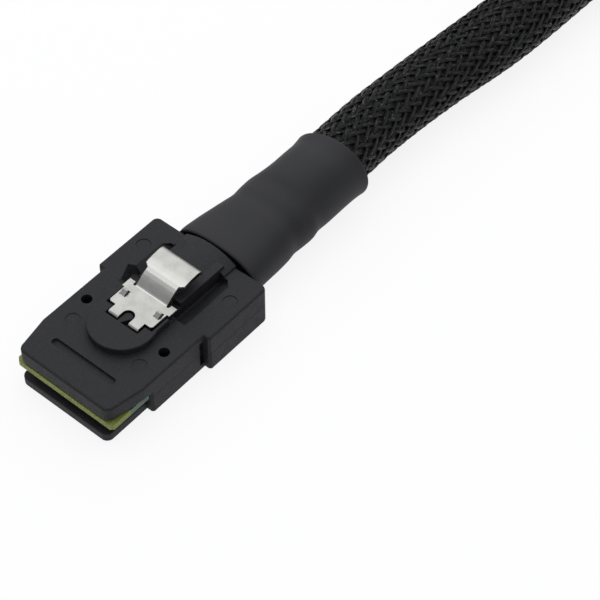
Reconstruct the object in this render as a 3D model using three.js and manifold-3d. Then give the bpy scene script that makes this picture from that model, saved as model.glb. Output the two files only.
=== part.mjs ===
// A breakout cable: a 36-position internal plug with a sprung steel latch, a heat-shrink sleeve, a braided
// bundle wound in one coil, and four legs that end in plain 7-position data plugs.
// Units are millimetres and +Z is up. Lengths along Y are counted from the plug's nose face towards the
// cable, and the finished group is then moved so that its origin is under the middle of the plug.

import * as THREE from 'three';
import { mergeVertices } from 'three/addons/utils/BufferGeometryUtils.js';
import Module from 'manifold-3d';

const wasm = await Module();
wasm.setup();

// Driving dimensions of the plug's moulded covers
const housing = {
  length: 32.8,
  height: 7.5,
  bodyHalfWidth: 10.3,
  shoulderHalfWidth: 11.45,
  shoulderStart: 19.5,
  shoulderChamfer: 0.35,
  wallStart: 8,
  wallChamfer: 0.35,
  rearCornerRadius: 1,
  edgeRound: 0.4,
  wall: 1.2,
  ceiling: 5.6,
  rearWall: 1.6,
  partingHeight: 3.93,
  seam: 0.06,
};

const nose = {
  topHalfWidth: 9.35,
  topUnderside: 4.75,
  topCornerRadius: 1.4,
  taperEnd: 6.5,
  bottomHalfWidth: 8.95,
  bottomReach: 0.4,
  bottomThickness: 1.6,
  bottomCornerRadius: 1.2,
  bottomRound: 0.15,
  overlap: 2.2,
};

const card = {
  halfWidth: 9.8,
  rearHalfWidth: 8.45,
  thickness: 1.15,
  underside: 3.36,
  shoulder: 7.9,
  rear: 22,
  cornerChamfer: 0.5,
  clearance: 0.06,
};

const deck = {
  radius: 5.45,
  centre: 13.1,
  sideHalfWidth: 5.1,
  top: 8.8,
  edgeRound: 0.15,
  rear: 21.6,
};

const rail = {
  inner: 2.7,
  outer: 4.25,
  front: 21.2,
  top: 8.75,
};

const bridge = {
  halfWidth: 5.1,
  length: 2.8,
  tongueLength: 5.5,
  edgeTop: 7.8,
  crownTop: 9.15,
};
const bridgeFront = housing.length - bridge.length;

const trough = {
  outer: 6.9,
  floorOuter: 4.6,
  front: 19.2,
  floor: 6.2,
  cornerCut: 1.1,
};

// Pocket beside the left trough: its outline at the main face and at the floor, as (x, y) corners
const sidePocket = {
  rim: [[-8, 22.6], [-6.8, 23.2], [-4.6, 23.2], [-4.6, 19.4], [-6.75, 19.7]],
  base: [[-6.9, 22.2], [-6.2, 22.7], [-4.4, 22.7], [-4.4, 20], [-6.1, 20.3]],
};

const coreHole = { x: 7.94, y: 13.44, radius: 0.88 };
const groove = { x: 5.7, y: 4.55, radius: 0.62, depth: 0.45 };
const ejectorMark = { radius: 1.18, depth: 0.1, places: [[6.81, 9.29], [8.9, 27.04]] };
const sideNotch = { front: 18.5, depth: 0.8, low: 1.2, high: 6.3 };
const cardRib = { x: 7.6, halfWidth: 0.5, front: 15.2, rear: 21.5 };

// Driving dimensions of the steel latch
const latch = {
  thickness: 0.35,
  top: 9.05,
  plateHalfWidth: 4.35,
  plateFront: 14.7,
  prongFront: 13,
  prongOuter: 3,
  prongInner: 1.06,
  notchTop: 15.3,
  wingHalfWidth: 4.8,
  wingFront: 18.05,
  wingRear: 19.85,
  rampHalfWidth: 3.15,
  bend: 19.4,
  reliefWidth: 0.5,
  tabHalfWidth: 3.9,
  tabStep: 22.6,
  tabRear: 26.7,
  tabTop: 11.5,
  cornerRadius: 0.7,
  hookX: 3.45,
  hookY: 17.2,
  hookLength: 1.3,
  hookWidth: 1.15,
  hookHeight: 0.6,
  clearance: 0.3,
};

// Driving dimensions of the conductor ends and of what grips them
const pair = { width: 2.7, thickness: 0.9, front: 16, gapToBlock: 0.1, places: [-5.4, -1.8, 1.8, 5.4] };
const potting = { front: 22.4, rear: 27, halfWidth: 8.5, low: 1.5, high: 5.3 };
const core = { halfWidth: 6.2, halfHeight: 1.8, height: 3.7, gap: 0.1, end: 53.6 };
const cableOutlet = { clearance: 0.3 };

// Heat-shrink sleeve: stations along Y with the centre (x, z) and the two outer half sizes
const sleeveWall = 0.5;
const sleeveGap = 0.55;
const sleeveStations = [
  { y: 0, x: 0.5, z: 4.65, a: 8.05, b: 4.4 },
  { y: 5, x: 0.62, z: 4.85, a: 7.65, b: 4.65 },
  { y: 10, x: 0.75, z: 5.15, a: 7.05, b: 5 },
  { y: 13.3, x: 0.9, z: 5.5, a: 7.1, b: 5.35 },
  { y: 17, x: 1, z: 6, a: 6.65, b: 5.9 },
  { y: 22, x: 1.05, z: 6.3, a: 6.45, b: 6.25 },
  { y: 26.2, x: 1.1, z: 6.35, a: 6.5, b: 6.3 },
  { y: 27.9, x: 1.1, z: 6.45, a: 6.75, b: 6.4 },
];

// Braided bundle: its route from inside the sleeve to the start of the coil, chosen by hand
const bundle = { radius: 5.5, restHeight: 5.7, sides: 12, faceGap: 0.5 };
const bundleRoute = [
  [1.0, 54, 6.22],
  [1.04, 58, 6.3],
  [1.1, 64, 6.2],
  [1.3, 71, 6],
  [1.68, 79, 5.8],
  [2.35, 89, 5.7],
  [3.25, 100, 5.7],
  [3.95, 111, 5.7],
  [4.55, 122, 5.7],
  [5.15, 134, 5.75],
  [5.72, 146, 5.9],
  [6.15, 157, 6.25],
  [6.3, 167.5, 6.75],
];

// Coil: one turn wound from the bundle and then, beside it, the four legs. Angles are in degrees round the
// coil's centre, from +X towards +Y.
const coil = {
  centre: [-51.7, 168],
  radius: 58,
  bundleEnd: 211.4,
  legStart: 214,
  innerRadius: 46.9,
  innerFrom: 340,
  tieAngle: 2,
  tieLift: 1.05,
  tieSpread: 26,
};

const leg = {
  radius: 2.2,
  pitch: 4.7,
  lowHeight: 2.35,
  sides: 8,
  fanStart: 370,
  end: 440,
  windIn: 7.5,
  steps: 28,
};

const breakout = { start: 203.4, end: 230, wall: 0.8, clearance: 0.5, steps: 9, sides: 20, riseLength: 30 };

// Data plugs: two lie on the floor and two lie on top of them
const dataPlug = {
  halfWidth: 7.3,
  halfHeight: 3.8,
  length: 19.5,
  edgeRound: 0.5,
  bootLength: 8,
  bootRearHalfWidth: 3.5,
  bootRearHalfHeight: 2.9,
  bootFrontHalfWidth: 5.6,
  bootFrontHalfHeight: 3.3,
  gap: 0.3,
  floorGap: 0.1,
  mouthHalfWidth: 5.3,
  mouthHeight: 2.3,
  mouthDepth: 6,
  keyWidth: 2.2,
  keyHeight: 4.3,
  gripCount: 4,
  gripPitch: 2,
  gripWidth: 0.9,
  gripDepth: 0.4,
  waferThickness: 1,
  contactCount: 7,
  contactPitch: 1.27,
  contactWidth: 0.6,
  contactHeight: 0.25,
  fit: 0.1,
};

const tie = { thickness: 1, width: 4.6, clearance: 0.3, cornerRadius: 2.3, head: 6, headHeight: 3.4, tail: 4 };

// Materials
const finish = (color, roughness, metalness = 0) => new THREE.MeshStandardMaterial({ color, roughness, metalness });
const blackMoulding = finish(0x2b2b2e, 0.62);
const springSteel = finish(0xc8c8c3, 0.32, 0.95);
const circuitCard = finish(0x8c9440, 0.5);
const hotMelt = finish(0xd8d2c0, 0.6);
const conductorJacket = finish(0x6d86b0, 0.45);
const shrinkRubber = finish(0x303033, 0.55);
const braid = finish(0x17171a, 0.45);
const legJacket = finish(0x1d1d20, 0.5);
const contactMetal = finish(0xd9b45a, 0.35, 0.9);
const nylon = finish(0x151517, 0.5);

// Solid helpers
const toSolid = (geometry) => {
  const bare = geometry.index ? geometry.toNonIndexed() : geometry.clone();
  bare.deleteAttribute('normal');
  bare.deleteAttribute('uv');
  const merged = mergeVertices(bare, 1e-4);
  const mesh = new wasm.Mesh({
    numProp: 3,
    vertProperties: new Float32Array(merged.attributes.position.array),
    triVerts: new Uint32Array(merged.index.array),
  });
  mesh.merge();
  return new wasm.Manifold(mesh);
};

const toGeometry = (solid) => {
  const mesh = solid.getMesh();
  const geometry = new THREE.BufferGeometry();
  geometry.setAttribute('position', new THREE.BufferAttribute(new Float32Array(mesh.vertProperties), 3));
  geometry.setIndex(new THREE.BufferAttribute(new Uint32Array(mesh.triVerts), 1));
  return geometry;
};

const block = (x0, x1, y0, y1, z0, z1) => {
  const geometry = new THREE.BoxGeometry(x1 - x0, y1 - y0, z1 - z0);
  geometry.translate((x0 + x1) / 2, (y0 + y1) / 2, (z0 + z1) / 2);
  return toSolid(geometry);
};

const post = (radius, x, y, z0, z1, segments = 24) => {
  const geometry = new THREE.CylinderGeometry(radius, radius, z1 - z0, segments);
  geometry.rotateX(Math.PI / 2);
  geometry.translate(x, y, (z0 + z1) / 2);
  return toSolid(geometry);
};

// A plan outline raised from z0 to z1, with its upper and lower edges rounded by edgeRound
const slab = (shape, z0, z1, edgeRound = 0, curveSegments = 8) => {
  const geometry = new THREE.ExtrudeGeometry(shape, {
    depth: z1 - z0 - 2 * edgeRound,
    bevelEnabled: edgeRound > 0,
    bevelThickness: edgeRound,
    bevelSize: edgeRound,
    bevelOffset: -edgeRound,
    bevelSegments: 3,
    curveSegments,
  });
  geometry.translate(0, 0, z0 + edgeRound);
  return toSolid(geometry);
};

// An outline in the YZ plane, given as (y, z) points, swept along X from -halfWidth to halfWidth
const profileAcross = (points, halfWidth) => {
  const shape = new THREE.Shape(points.map(([y, z]) => new THREE.Vector2(y, z)));
  const geometry = new THREE.ExtrudeGeometry(shape, { depth: 2 * halfWidth, bevelEnabled: false });
  geometry.applyMatrix4(new THREE.Matrix4().makeBasis(
    new THREE.Vector3(0, 1, 0), new THREE.Vector3(0, 0, 1), new THREE.Vector3(1, 0, 0)));
  geometry.translate(-halfWidth, 0, 0);
  return toSolid(geometry);
};

// An outline in the XZ plane, given as (x, z) points, swept along Y from y0 to y1
const profileAlong = (points, y0, y1) => {
  const shape = new THREE.Shape(points.map(([x, z]) => new THREE.Vector2(x, z)));
  const geometry = new THREE.ExtrudeGeometry(shape, { depth: y1 - y0, bevelEnabled: false });
  geometry.rotateX(Math.PI / 2);
  geometry.translate(0, y1, 0);
  return toSolid(geometry);
};

// A closed skin over rings of equally many points, each ring seen with the next one ahead
const skin = (rings) => {
  const sides = rings[0].length;
  const positions = rings.flat().flatMap((point) => [point.x, point.y, point.z]);
  const index = [];
  for (let ring = 0; ring < rings.length - 1; ring += 1) {
    for (let side = 0; side < sides; side += 1) {
      const here = ring * sides + side;
      const next = ring * sides + (side + 1) % sides;
      index.push(here, next, next + sides, here, next + sides, here + sides);
    }
  }
  const firstCap = positions.length / 3;
  const middle = (ring) => ring.reduce((sum, point) => sum.add(point), new THREE.Vector3()).divideScalar(sides);
  const start = middle(rings[0]);
  const end = middle(rings[rings.length - 1]);
  positions.push(start.x, start.y, start.z, end.x, end.y, end.z);
  const lastRing = (rings.length - 1) * sides;
  for (let side = 0; side < sides; side += 1) {
    const next = (side + 1) % sides;
    index.push(firstCap, next, side);
    index.push(firstCap + 1, lastRing + side, lastRing + next);
  }
  const geometry = new THREE.BufferGeometry();
  geometry.setAttribute('position', new THREE.Float32BufferAttribute(positions, 3));
  geometry.setIndex(index);
  return toSolid(geometry);
};

// Ring of an oval section that faces along Y
const ovalRing = ({ y, x, z, a, b }, sides = 32) => Array.from({ length: sides }, (_, i) => {
  const angle = -(2 * Math.PI * i) / sides;
  return new THREE.Vector3(x + a * Math.cos(angle), y, z + b * Math.sin(angle));
});

const mirrored = (make) => [make(1), make(-1)];
const joined = (solids) => solids.reduce((all, solid) => all.add(solid));
const degrees = THREE.MathUtils.degToRad;
const smooth = (value, from, to) => THREE.MathUtils.smoothstep(value, from, to);

// Plan outline of both covers behind the nose
const bodyOutline = () => {
  const { bodyHalfWidth: w, shoulderHalfWidth: s, length, rearCornerRadius: r, shoulderChamfer: c } = housing;
  const k = housing.wallChamfer;
  const shape = new THREE.Shape();
  shape.moveTo(k - w, housing.wallStart);
  shape.lineTo(w - k, housing.wallStart);
  shape.lineTo(w, housing.wallStart + k);
  shape.lineTo(w, housing.shoulderStart);
  shape.lineTo(s - c, housing.shoulderStart);
  shape.lineTo(s, housing.shoulderStart + c);
  shape.lineTo(s, length - r);
  shape.absarc(s - r, length - r, r, 0, Math.PI / 2);
  shape.lineTo(r - s, length);
  shape.absarc(r - s, length - r, r, Math.PI / 2, Math.PI);
  shape.lineTo(-s, housing.shoulderStart + c);
  shape.lineTo(c - s, housing.shoulderStart);
  shape.lineTo(-w, housing.shoulderStart);
  shape.lineTo(-w, housing.wallStart + k);
  shape.closePath();
  return shape;
};

// Plan outline of a nose plate: straight front, rounded front corners and sides that may taper
const noseOutline = (front, frontHalfWidth, rearHalfWidth, cornerRadius, taperEnd) => {
  const rear = housing.wallStart + nose.overlap;
  const r = cornerRadius;
  const f = frontHalfWidth;
  const shape = new THREE.Shape();
  shape.moveTo(r - f, front);
  shape.lineTo(f - r, front);
  shape.absarc(f - r, front + r, r, -Math.PI / 2, 0);
  shape.lineTo(rearHalfWidth, taperEnd);
  shape.lineTo(rearHalfWidth, rear);
  shape.lineTo(-rearHalfWidth, rear);
  shape.lineTo(-rearHalfWidth, taperEnd);
  shape.lineTo(-f, front + r);
  shape.absarc(r - f, front + r, r, Math.PI, 1.5 * Math.PI);
  shape.closePath();
  return shape;
};

const envelope = () => slab(bodyOutline(), 0, housing.height, housing.edgeRound);

const cavity = () => block(
  housing.wall - housing.bodyHalfWidth, housing.bodyHalfWidth - housing.wall,
  housing.wallStart - 1, housing.length - housing.rearWall, housing.wall, housing.ceiling);

const outlet = () => {
  const a = core.halfWidth + cableOutlet.clearance;
  const b = core.halfHeight + cableOutlet.clearance;
  const section = (y) => ovalRing({ y, x: 0, z: core.height, a, b });
  return skin([section(housing.length + 1), section(housing.length - housing.rearWall - 1)].reverse());
};

// Recesses in both side faces, just ahead of the shoulders
const sideNotches = () => joined(mirrored((side) => {
  const inner = side * (housing.bodyHalfWidth - sideNotch.depth);
  const outer = side * (housing.bodyHalfWidth + 1);
  return block(Math.min(inner, outer), Math.max(inner, outer), sideNotch.front, housing.shoulderStart,
    sideNotch.low, sideNotch.high);
}));

const ribs = (z0, z1) => joined(mirrored((side) => block(
  side * cardRib.x - cardRib.halfWidth, side * cardRib.x + cardRib.halfWidth,
  cardRib.front, cardRib.rear, z0, z1)));

// Raised D-shaped deck ahead of and around the latch plate
const deckSolid = () => {
  const shape = new THREE.Shape();
  const tangent = Math.acos(deck.sideHalfWidth / deck.radius);
  shape.moveTo(deck.sideHalfWidth, deck.rear);
  shape.lineTo(-deck.sideHalfWidth, deck.rear);
  shape.absarc(0, deck.centre, deck.radius, Math.PI - tangent, 2 * Math.PI + tangent);
  shape.closePath();
  return slab(shape, housing.height - 1, deck.top, deck.edgeRound, 40);
};

const railSolids = () => mirrored((side) => {
  const x0 = Math.min(side * rail.inner, side * rail.outer);
  const x1 = Math.max(side * rail.inner, side * rail.outer);
  return block(x0, x1, rail.front, bridgeFront + 1, housing.height - 1, rail.top);
});

// Crowned bridge across the rear, highest in the middle, with a tongue that reaches forward between the rails
const bridgeSolid = () => {
  const base = housing.height - 1;
  const crowned = (halfWidth, front) => {
    const crownSteps = 16;
    const crown = Array.from({ length: crownSteps + 1 }, (_, i) => {
      const x = halfWidth * (1 - (2 * i) / crownSteps);
      const rise = (bridge.crownTop - bridge.edgeTop) * (1 - (x / bridge.halfWidth) ** 2);
      return [x, bridge.edgeTop + rise];
    });
    return profileAlong([[-halfWidth, base], [halfWidth, base], ...crown], front, housing.length);
  };
  return crowned(bridge.halfWidth, bridgeFront).add(crowned(rail.inner + 0.2, housing.length - bridge.tongueLength));
};

// Trough beside each rail: deep along the rail, with a sloping outer wall up to the main face
const troughCuts = () => mirrored((side) => {
  const above = deck.top + 1;
  const slope = (trough.outer - trough.floorOuter) / (housing.height - trough.floor);
  const outerAbove = trough.outer + slope * (above - housing.height);
  const section = [
    [side * rail.outer, trough.floor],
    [side * trough.floorOuter, trough.floor],
    [side * outerAbove, above],
    [side * rail.outer, above],
  ];
  const run = profileAlong(side > 0 ? section : section.reverse(), trough.front, bridgeFront);
  const corner = new THREE.Shape([
    new THREE.Vector2(side * (trough.outer + 3), bridgeFront + 1),
    new THREE.Vector2(side * (trough.outer + 3), bridgeFront - trough.cornerCut - 3),
    new THREE.Vector2(side * rail.outer, bridgeFront + (trough.outer - rail.outer - trough.cornerCut)),
  ]);
  return run.subtract(slab(corner, trough.floor - 1, above + 1));
});

// Pocket with slanted walls, wider at the main face than at its floor
const sidePocketCut = () => {
  const ring = (corners, z) => corners.map(([x, y]) => new THREE.Vector3(x, y, z)).reverse();
  return skin([
    ring(sidePocket.base, trough.floor),
    ring(sidePocket.rim, housing.height),
    ring(sidePocket.rim, housing.height + 1),
  ]);
};

// Room for the latch: a pocket for each prong, under its plate, round its wings, and between the rails for
// its tab. The deck fills the notch between the prongs.
const latchRoom = () => {
  const gap = latch.clearance;
  const roof = deck.top + 1;
  const plateFloor = latch.top - latch.thickness - 0.85;
  const tabFloor = trough.floor + 0.2;
  const tabEnd = housing.length - bridge.tongueLength;
  const plate = latch.plateHalfWidth + gap;
  const wing = latch.wingHalfWidth + gap;
  const prong = latch.prongOuter + gap;
  const filling = new THREE.Shape();
  const fillingRadius = latch.prongInner - gap;
  filling.moveTo(fillingRadius, latch.prongFront - gap - 1);
  filling.absarc(0, latch.notchTop - latch.prongInner, fillingRadius, 0, Math.PI);
  filling.lineTo(-fillingRadius, latch.prongFront - gap - 1);
  filling.closePath();
  return joined([
    block(-prong, prong, latch.prongFront - gap, latch.plateFront, plateFloor, roof),
    block(-plate, plate, latch.plateFront - gap, latch.bend + 1, plateFloor, roof),
    block(-wing, wing, latch.wingFront - gap, rail.front, plateFloor, roof),
    block(-rail.inner, rail.inner, latch.bend, tabEnd, tabFloor, roof),
  ]).subtract(slab(filling, plateFloor - 1, roof + 1));
};

const surfaceMarks = () => {
  const top = housing.height;
  const capsule = new THREE.Shape();
  capsule.absarc(groove.x, groove.y, groove.radius, -Math.PI / 2, Math.PI / 2);
  capsule.absarc(-groove.x, groove.y, groove.radius, Math.PI / 2, 1.5 * Math.PI);
  capsule.closePath();
  const marks = [slab(capsule, top - groove.depth, top + 1)];
  for (const side of [1, -1]) {
    marks.push(post(coreHole.radius, side * coreHole.x, coreHole.y, housing.ceiling - 1, top + 1));
    for (const [x, y] of ejectorMark.places) {
      marks.push(post(ejectorMark.radius, side * x, y, top - ejectorMark.depth, top + 1, 32));
    }
  }
  return joined(marks);
};

const topCover = () => {
  const parting = housing.partingHeight + housing.seam / 2;
  const far = housing.length + 5;
  const upper = envelope().subtract(block(-far, far, -far, far, -5, parting));
  const plateOutline = noseOutline(0, nose.topHalfWidth, housing.bodyHalfWidth, nose.topCornerRadius,
    nose.taperEnd);
  const plate = slab(plateOutline, nose.topUnderside, housing.height, housing.edgeRound);
  return upper.subtract(cavity())
    .add(plate)
    .add(ribs(card.underside + card.thickness + card.clearance, housing.ceiling + 0.5))
    .add(deckSolid())
    .subtract(joined(troughCuts()))
    .subtract(sidePocketCut())
    .add(joined(railSolids()))
    .add(bridgeSolid())
    .subtract(latchRoom())
    .subtract(surfaceMarks())
    .subtract(sideNotches())
    .subtract(outlet());
};

const bottomCover = () => {
  const parting = housing.partingHeight - housing.seam / 2;
  const far = housing.length + 5;
  const lower = envelope().subtract(block(-far, far, -far, far, parting, 20));
  const plateOutline = noseOutline(-nose.bottomReach, nose.bottomHalfWidth, nose.bottomHalfWidth,
    nose.bottomCornerRadius, nose.taperEnd);
  const plate = slab(plateOutline, 0, nose.bottomThickness, nose.bottomRound);
  return lower.subtract(cavity())
    .add(plate)
    .add(ribs(housing.wall - 0.5, card.underside - card.clearance))
    .subtract(sideNotches())
    .subtract(outlet());
};

const paddleCard = () => {
  const { halfWidth: w, rearHalfWidth: r, shoulder, rear, cornerChamfer: c } = card;
  const shape = new THREE.Shape();
  shape.moveTo(c - w, 0);
  shape.lineTo(w - c, 0);
  shape.lineTo(w, c);
  shape.lineTo(w, shoulder);
  shape.lineTo(r, shoulder);
  shape.lineTo(r, rear);
  shape.lineTo(-r, rear);
  shape.lineTo(-r, shoulder);
  shape.lineTo(-w, shoulder);
  shape.lineTo(-w, c);
  shape.closePath();
  return slab(shape, card.underside, card.underside + card.thickness);
};

// Plan outline of the latch blank without its wings, from the front prongs to the rear of the thumb tab
const latchOutline = () => {
  const l = latch;
  const shape = new THREE.Shape();
  shape.moveTo(l.prongInner, l.prongFront);
  shape.lineTo(l.prongOuter, l.prongFront);
  shape.lineTo(l.prongOuter, l.plateFront);
  shape.lineTo(l.plateHalfWidth - 0.3, l.plateFront);
  shape.lineTo(l.plateHalfWidth, l.plateFront + 0.3);
  shape.lineTo(l.plateHalfWidth, l.bend);
  shape.lineTo(l.rampHalfWidth + l.reliefWidth, l.bend);
  shape.absarc(l.rampHalfWidth + l.reliefWidth / 2, l.bend, l.reliefWidth / 2, 0, -Math.PI, true);
  shape.lineTo(l.rampHalfWidth, l.tabStep - 0.5);
  shape.lineTo(l.tabHalfWidth, l.tabStep);
  shape.lineTo(l.tabHalfWidth, l.tabRear + 1);
  shape.lineTo(-l.tabHalfWidth, l.tabRear + 1);
  shape.lineTo(-l.tabHalfWidth, l.tabStep);
  shape.lineTo(-l.rampHalfWidth, l.tabStep - 0.5);
  shape.lineTo(-l.rampHalfWidth, l.bend);
  shape.absarc(-l.rampHalfWidth - l.reliefWidth / 2, l.bend, l.reliefWidth / 2, 0, -Math.PI, true);
  shape.lineTo(-l.plateHalfWidth, l.bend);
  shape.lineTo(-l.plateHalfWidth, l.plateFront + 0.3);
  shape.lineTo(0.3 - l.plateHalfWidth, l.plateFront);
  shape.lineTo(-l.prongOuter, l.plateFront);
  shape.lineTo(-l.prongOuter, l.prongFront);
  shape.lineTo(-l.prongInner, l.prongFront);
  shape.absarc(0, l.notchTop - l.prongInner, l.prongInner, Math.PI, 0, true);
  shape.closePath();
  return shape;
};

// Side profile of the formed sheet: bent prongs, flat plate, ramp, crowned tab and rolled rear edge
const latchProfile = () => {
  const half = latch.thickness / 2;
  const flat = latch.top - half;
  const peak = latch.tabTop - half;
  const path = new THREE.Path();
  path.moveTo(latch.prongFront + half, flat - 0.75);
  path.lineTo(latch.prongFront + half, flat - 0.35);
  path.quadraticCurveTo(latch.prongFront + half, flat, latch.prongFront + half + 0.35, flat);
  path.lineTo(latch.bend, flat);
  path.lineTo(latch.bend + 1.2, flat + 0.95);
  path.bezierCurveTo(latch.bend + 2.2, flat + 1.75, latch.tabStep, peak - 0.2, latch.tabRear - 1.3, peak);
  path.quadraticCurveTo(latch.tabRear - half, peak, latch.tabRear - half, peak - 0.9);
  const points = path.getPoints(6);
  const normals = points.map((_, i) => {
    const before = points[Math.max(i - 1, 0)];
    const after = points[Math.min(i + 1, points.length - 1)];
    const along = after.clone().sub(before).normalize();
    return new THREE.Vector2(-along.y, along.x);
  });
  const offset = (distance) => points.map((point, i) => [
    point.x + normals[i].x * distance,
    point.y + normals[i].y * distance,
  ]);
  return [...offset(-half), ...offset(half).reverse()];
};

// Two tongues punched up out of the plate, which hold the plug in its cage
const latchHooks = () => mirrored((side) => {
  const low = latch.top - latch.thickness;
  const front = latch.hookY - latch.hookLength / 2;
  const rear = latch.hookY + latch.hookLength / 2;
  const tongue = profileAcross([
    [front - 0.1, low + 0.05],
    [rear - 0.35, low + 0.05],
    [rear - 0.35, latch.top + latch.hookHeight],
    [rear - 0.55, latch.top + latch.hookHeight],
    [front - 0.1, latch.top - 0.05],
  ], latch.hookWidth / 2 - 0.12);
  const opening = block(-latch.hookWidth / 2, latch.hookWidth / 2, front, rear, low - 1, latch.top + 1);
  return { tongue: tongue.translate(side * latch.hookX, 0, 0), opening: opening.translate(side * latch.hookX, 0, 0) };
});

// Flat wings that carry on behind the bend, where the ramp between them already rises
const latchWings = () => mirrored((side) => {
  const inner = side * (latch.rampHalfWidth + latch.reliefWidth);
  const outer = side * latch.wingHalfWidth;
  return block(Math.min(inner, outer), Math.max(inner, outer), latch.wingFront, latch.wingRear,
    latch.top - latch.thickness, latch.top);
});

const latchSpring = () => {
  const sheet = profileAcross(latchProfile(), latch.wingHalfWidth + 1);
  const blank = slab(latchOutline(), 0, latch.tabTop + 2);
  const hooks = latchHooks();
  return sheet.intersect(blank)
    .add(joined(latchWings()))
    .subtract(joined(hooks.map((hook) => hook.opening)))
    .add(joined(hooks.map((hook) => hook.tongue)));
};

const conductorPair = (x, onTop) => {
  const cardTop = card.underside + card.thickness;
  const z0 = onTop ? cardTop + card.clearance : card.underside - card.clearance - pair.thickness;
  return block(x - pair.width / 2, x + pair.width / 2, pair.front, potting.front - pair.gapToBlock,
    z0, z0 + pair.thickness);
};

const pottingBlock = () => block(-potting.halfWidth, potting.halfWidth, potting.front, potting.rear,
  potting.low, potting.high);

const cableCore = () => {
  const section = (y, x, z, a, b) => ovalRing({ y, x, z, a, b }, 24);
  return skin([
    section(potting.rear + core.gap, 0, core.height, core.halfWidth, core.halfHeight),
    section(housing.length + 2, 0.1, core.height, core.halfWidth, core.halfHeight),
    section(housing.length + 8, 0.6, 4.9, 5.4, 3.2),
    section(core.end, 1, 5.6, 5, 4.2),
  ]);
};

const shrinkSleeve = () => {
  const start = housing.length + sleeveGap;
  const outer = sleeveStations.map((station) => ovalRing({ ...station, y: start + station.y }));
  const inner = sleeveStations.map((station, i) => {
    const reach = i === 0 ? -1 : i === sleeveStations.length - 1 ? 1 : 0;
    return ovalRing({
      ...station,
      y: start + station.y + reach,
      a: station.a - sleeveWall,
      b: station.b - sleeveWall,
    });
  });
  return skin(outer).subtract(skin(inner));
};

// A cord's plain solid: a section of a few sides swept along its route
const cordSolid = (points, radius, sides, steps) => {
  const section = new THREE.Shape(Array.from({ length: sides }, (_, i) => {
    const angle = (2 * Math.PI * (i + 0.5)) / sides;
    return new THREE.Vector2(radius * Math.cos(angle), radius * Math.sin(angle));
  }));
  const route = new THREE.CatmullRomCurve3(points);
  return new THREE.ExtrudeGeometry(section, { steps, bevelEnabled: false, extrudePath: route });
};

// Lift of the coil over the tie that passes under it
const tieLift = (angle) => {
  const away = Math.abs(((angle - coil.tieAngle + 540) % 360) - 180);
  return coil.tieLift * (1 - smooth(away, 4, coil.tieSpread));
};

// Radius and height of the collar over the end of the bundle, which holds both cords off the floor
const collarBore = bundle.radius + breakout.clearance;
const collarHeight = collarBore + breakout.wall + 0.1;

const onCoil = (angle, radius, height) => new THREE.Vector3(
  coil.centre[0] + radius * Math.cos(degrees(angle)),
  coil.centre[1] + radius * Math.sin(degrees(angle)),
  height);

const bundleCoilPoints = () => {
  const stepDegrees = 7.5;
  const gapDegrees = THREE.MathUtils.radToDeg(bundle.faceGap / coil.radius);
  const count = Math.round(coil.bundleEnd / stepDegrees);
  return Array.from({ length: count + 1 }, (_, i) => {
    const angle = gapDegrees + ((coil.bundleEnd - gapDegrees) * i) / count;
    const rise = smooth(angle, breakout.start - breakout.riseLength, breakout.start - 2);
    const lift = (collarHeight - bundle.restHeight) * rise;
    return onCoil(angle, coil.radius, bundle.restHeight + lift + tieLift(angle));
  });
};

// The legs leave the collar as a two by two bunch, move in beside the bundle, and then wind inwards and fan
// out to the data plugs
const plugCentreHeights = [0, 1].map((level) => dataPlug.floorGap + dataPlug.halfHeight
  + level * (2 * dataPlug.halfHeight + dataPlug.gap));

const legCentre = (angle) => {
  const inward = smooth(angle, breakout.end + 1, coil.innerFrom);
  const wound = degrees(Math.max(angle - leg.fanStart, 0));
  const radius = coil.radius + (coil.innerRadius - coil.radius) * inward - leg.windIn * wound ** 2;
  return onCoil(angle, radius, 0);
};

const legHeading = (angle) => legCentre(angle + 0.05).sub(legCentre(angle - 0.05)).normalize();

const legSide = (row, fan) => {
  const plugPitch = 2 * dataPlug.halfWidth + dataPlug.gap;
  return (row - 0.5) * (leg.pitch + (plugPitch - leg.pitch) * fan);
};

const legPoint = (angle, row, level) => {
  const fan = smooth(angle, leg.fanStart, leg.end);
  const heading = legHeading(angle);
  const outward = new THREE.Vector3(heading.y, -heading.x, 0);
  const bunchMiddle = leg.lowHeight + leg.pitch / 2;
  const fall = smooth(angle, breakout.end + 2, breakout.end + 2 + breakout.riseLength);
  const lift = (collarHeight - bunchMiddle) * (1 - fall);
  const bunchHeight = leg.lowHeight + level * leg.pitch + lift + tieLift(angle);
  const point = legCentre(angle).addScaledVector(outward, legSide(row, fan));
  point.z = bunchHeight + (plugCentreHeights[level] - bunchHeight) * fan;
  return point;
};

const legPoints = (row, level) => Array.from({ length: leg.steps + 1 }, (_, i) => {
  const angle = coil.legStart + ((leg.end - coil.legStart) * i) / leg.steps;
  return legPoint(angle, row, level);
});

// Collar over the end of the bundle and the start of the legs
const breakoutShrink = () => {
  const ring = (angle, radius) => Array.from({ length: breakout.sides }, (_, i) => {
    const turn = (2 * Math.PI * i) / breakout.sides;
    return onCoil(angle, coil.radius + radius * Math.cos(turn), collarHeight - radius * Math.sin(turn));
  });
  const rings = (radius, reach) => Array.from({ length: breakout.steps + 1 }, (_, i) => {
    const start = breakout.start - reach;
    const angle = start + ((breakout.end + reach - start) * i) / breakout.steps;
    return ring(angle, radius);
  });
  return skin(rings(collarBore + breakout.wall, 0)).subtract(skin(rings(collarBore, 1)));
};

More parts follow.
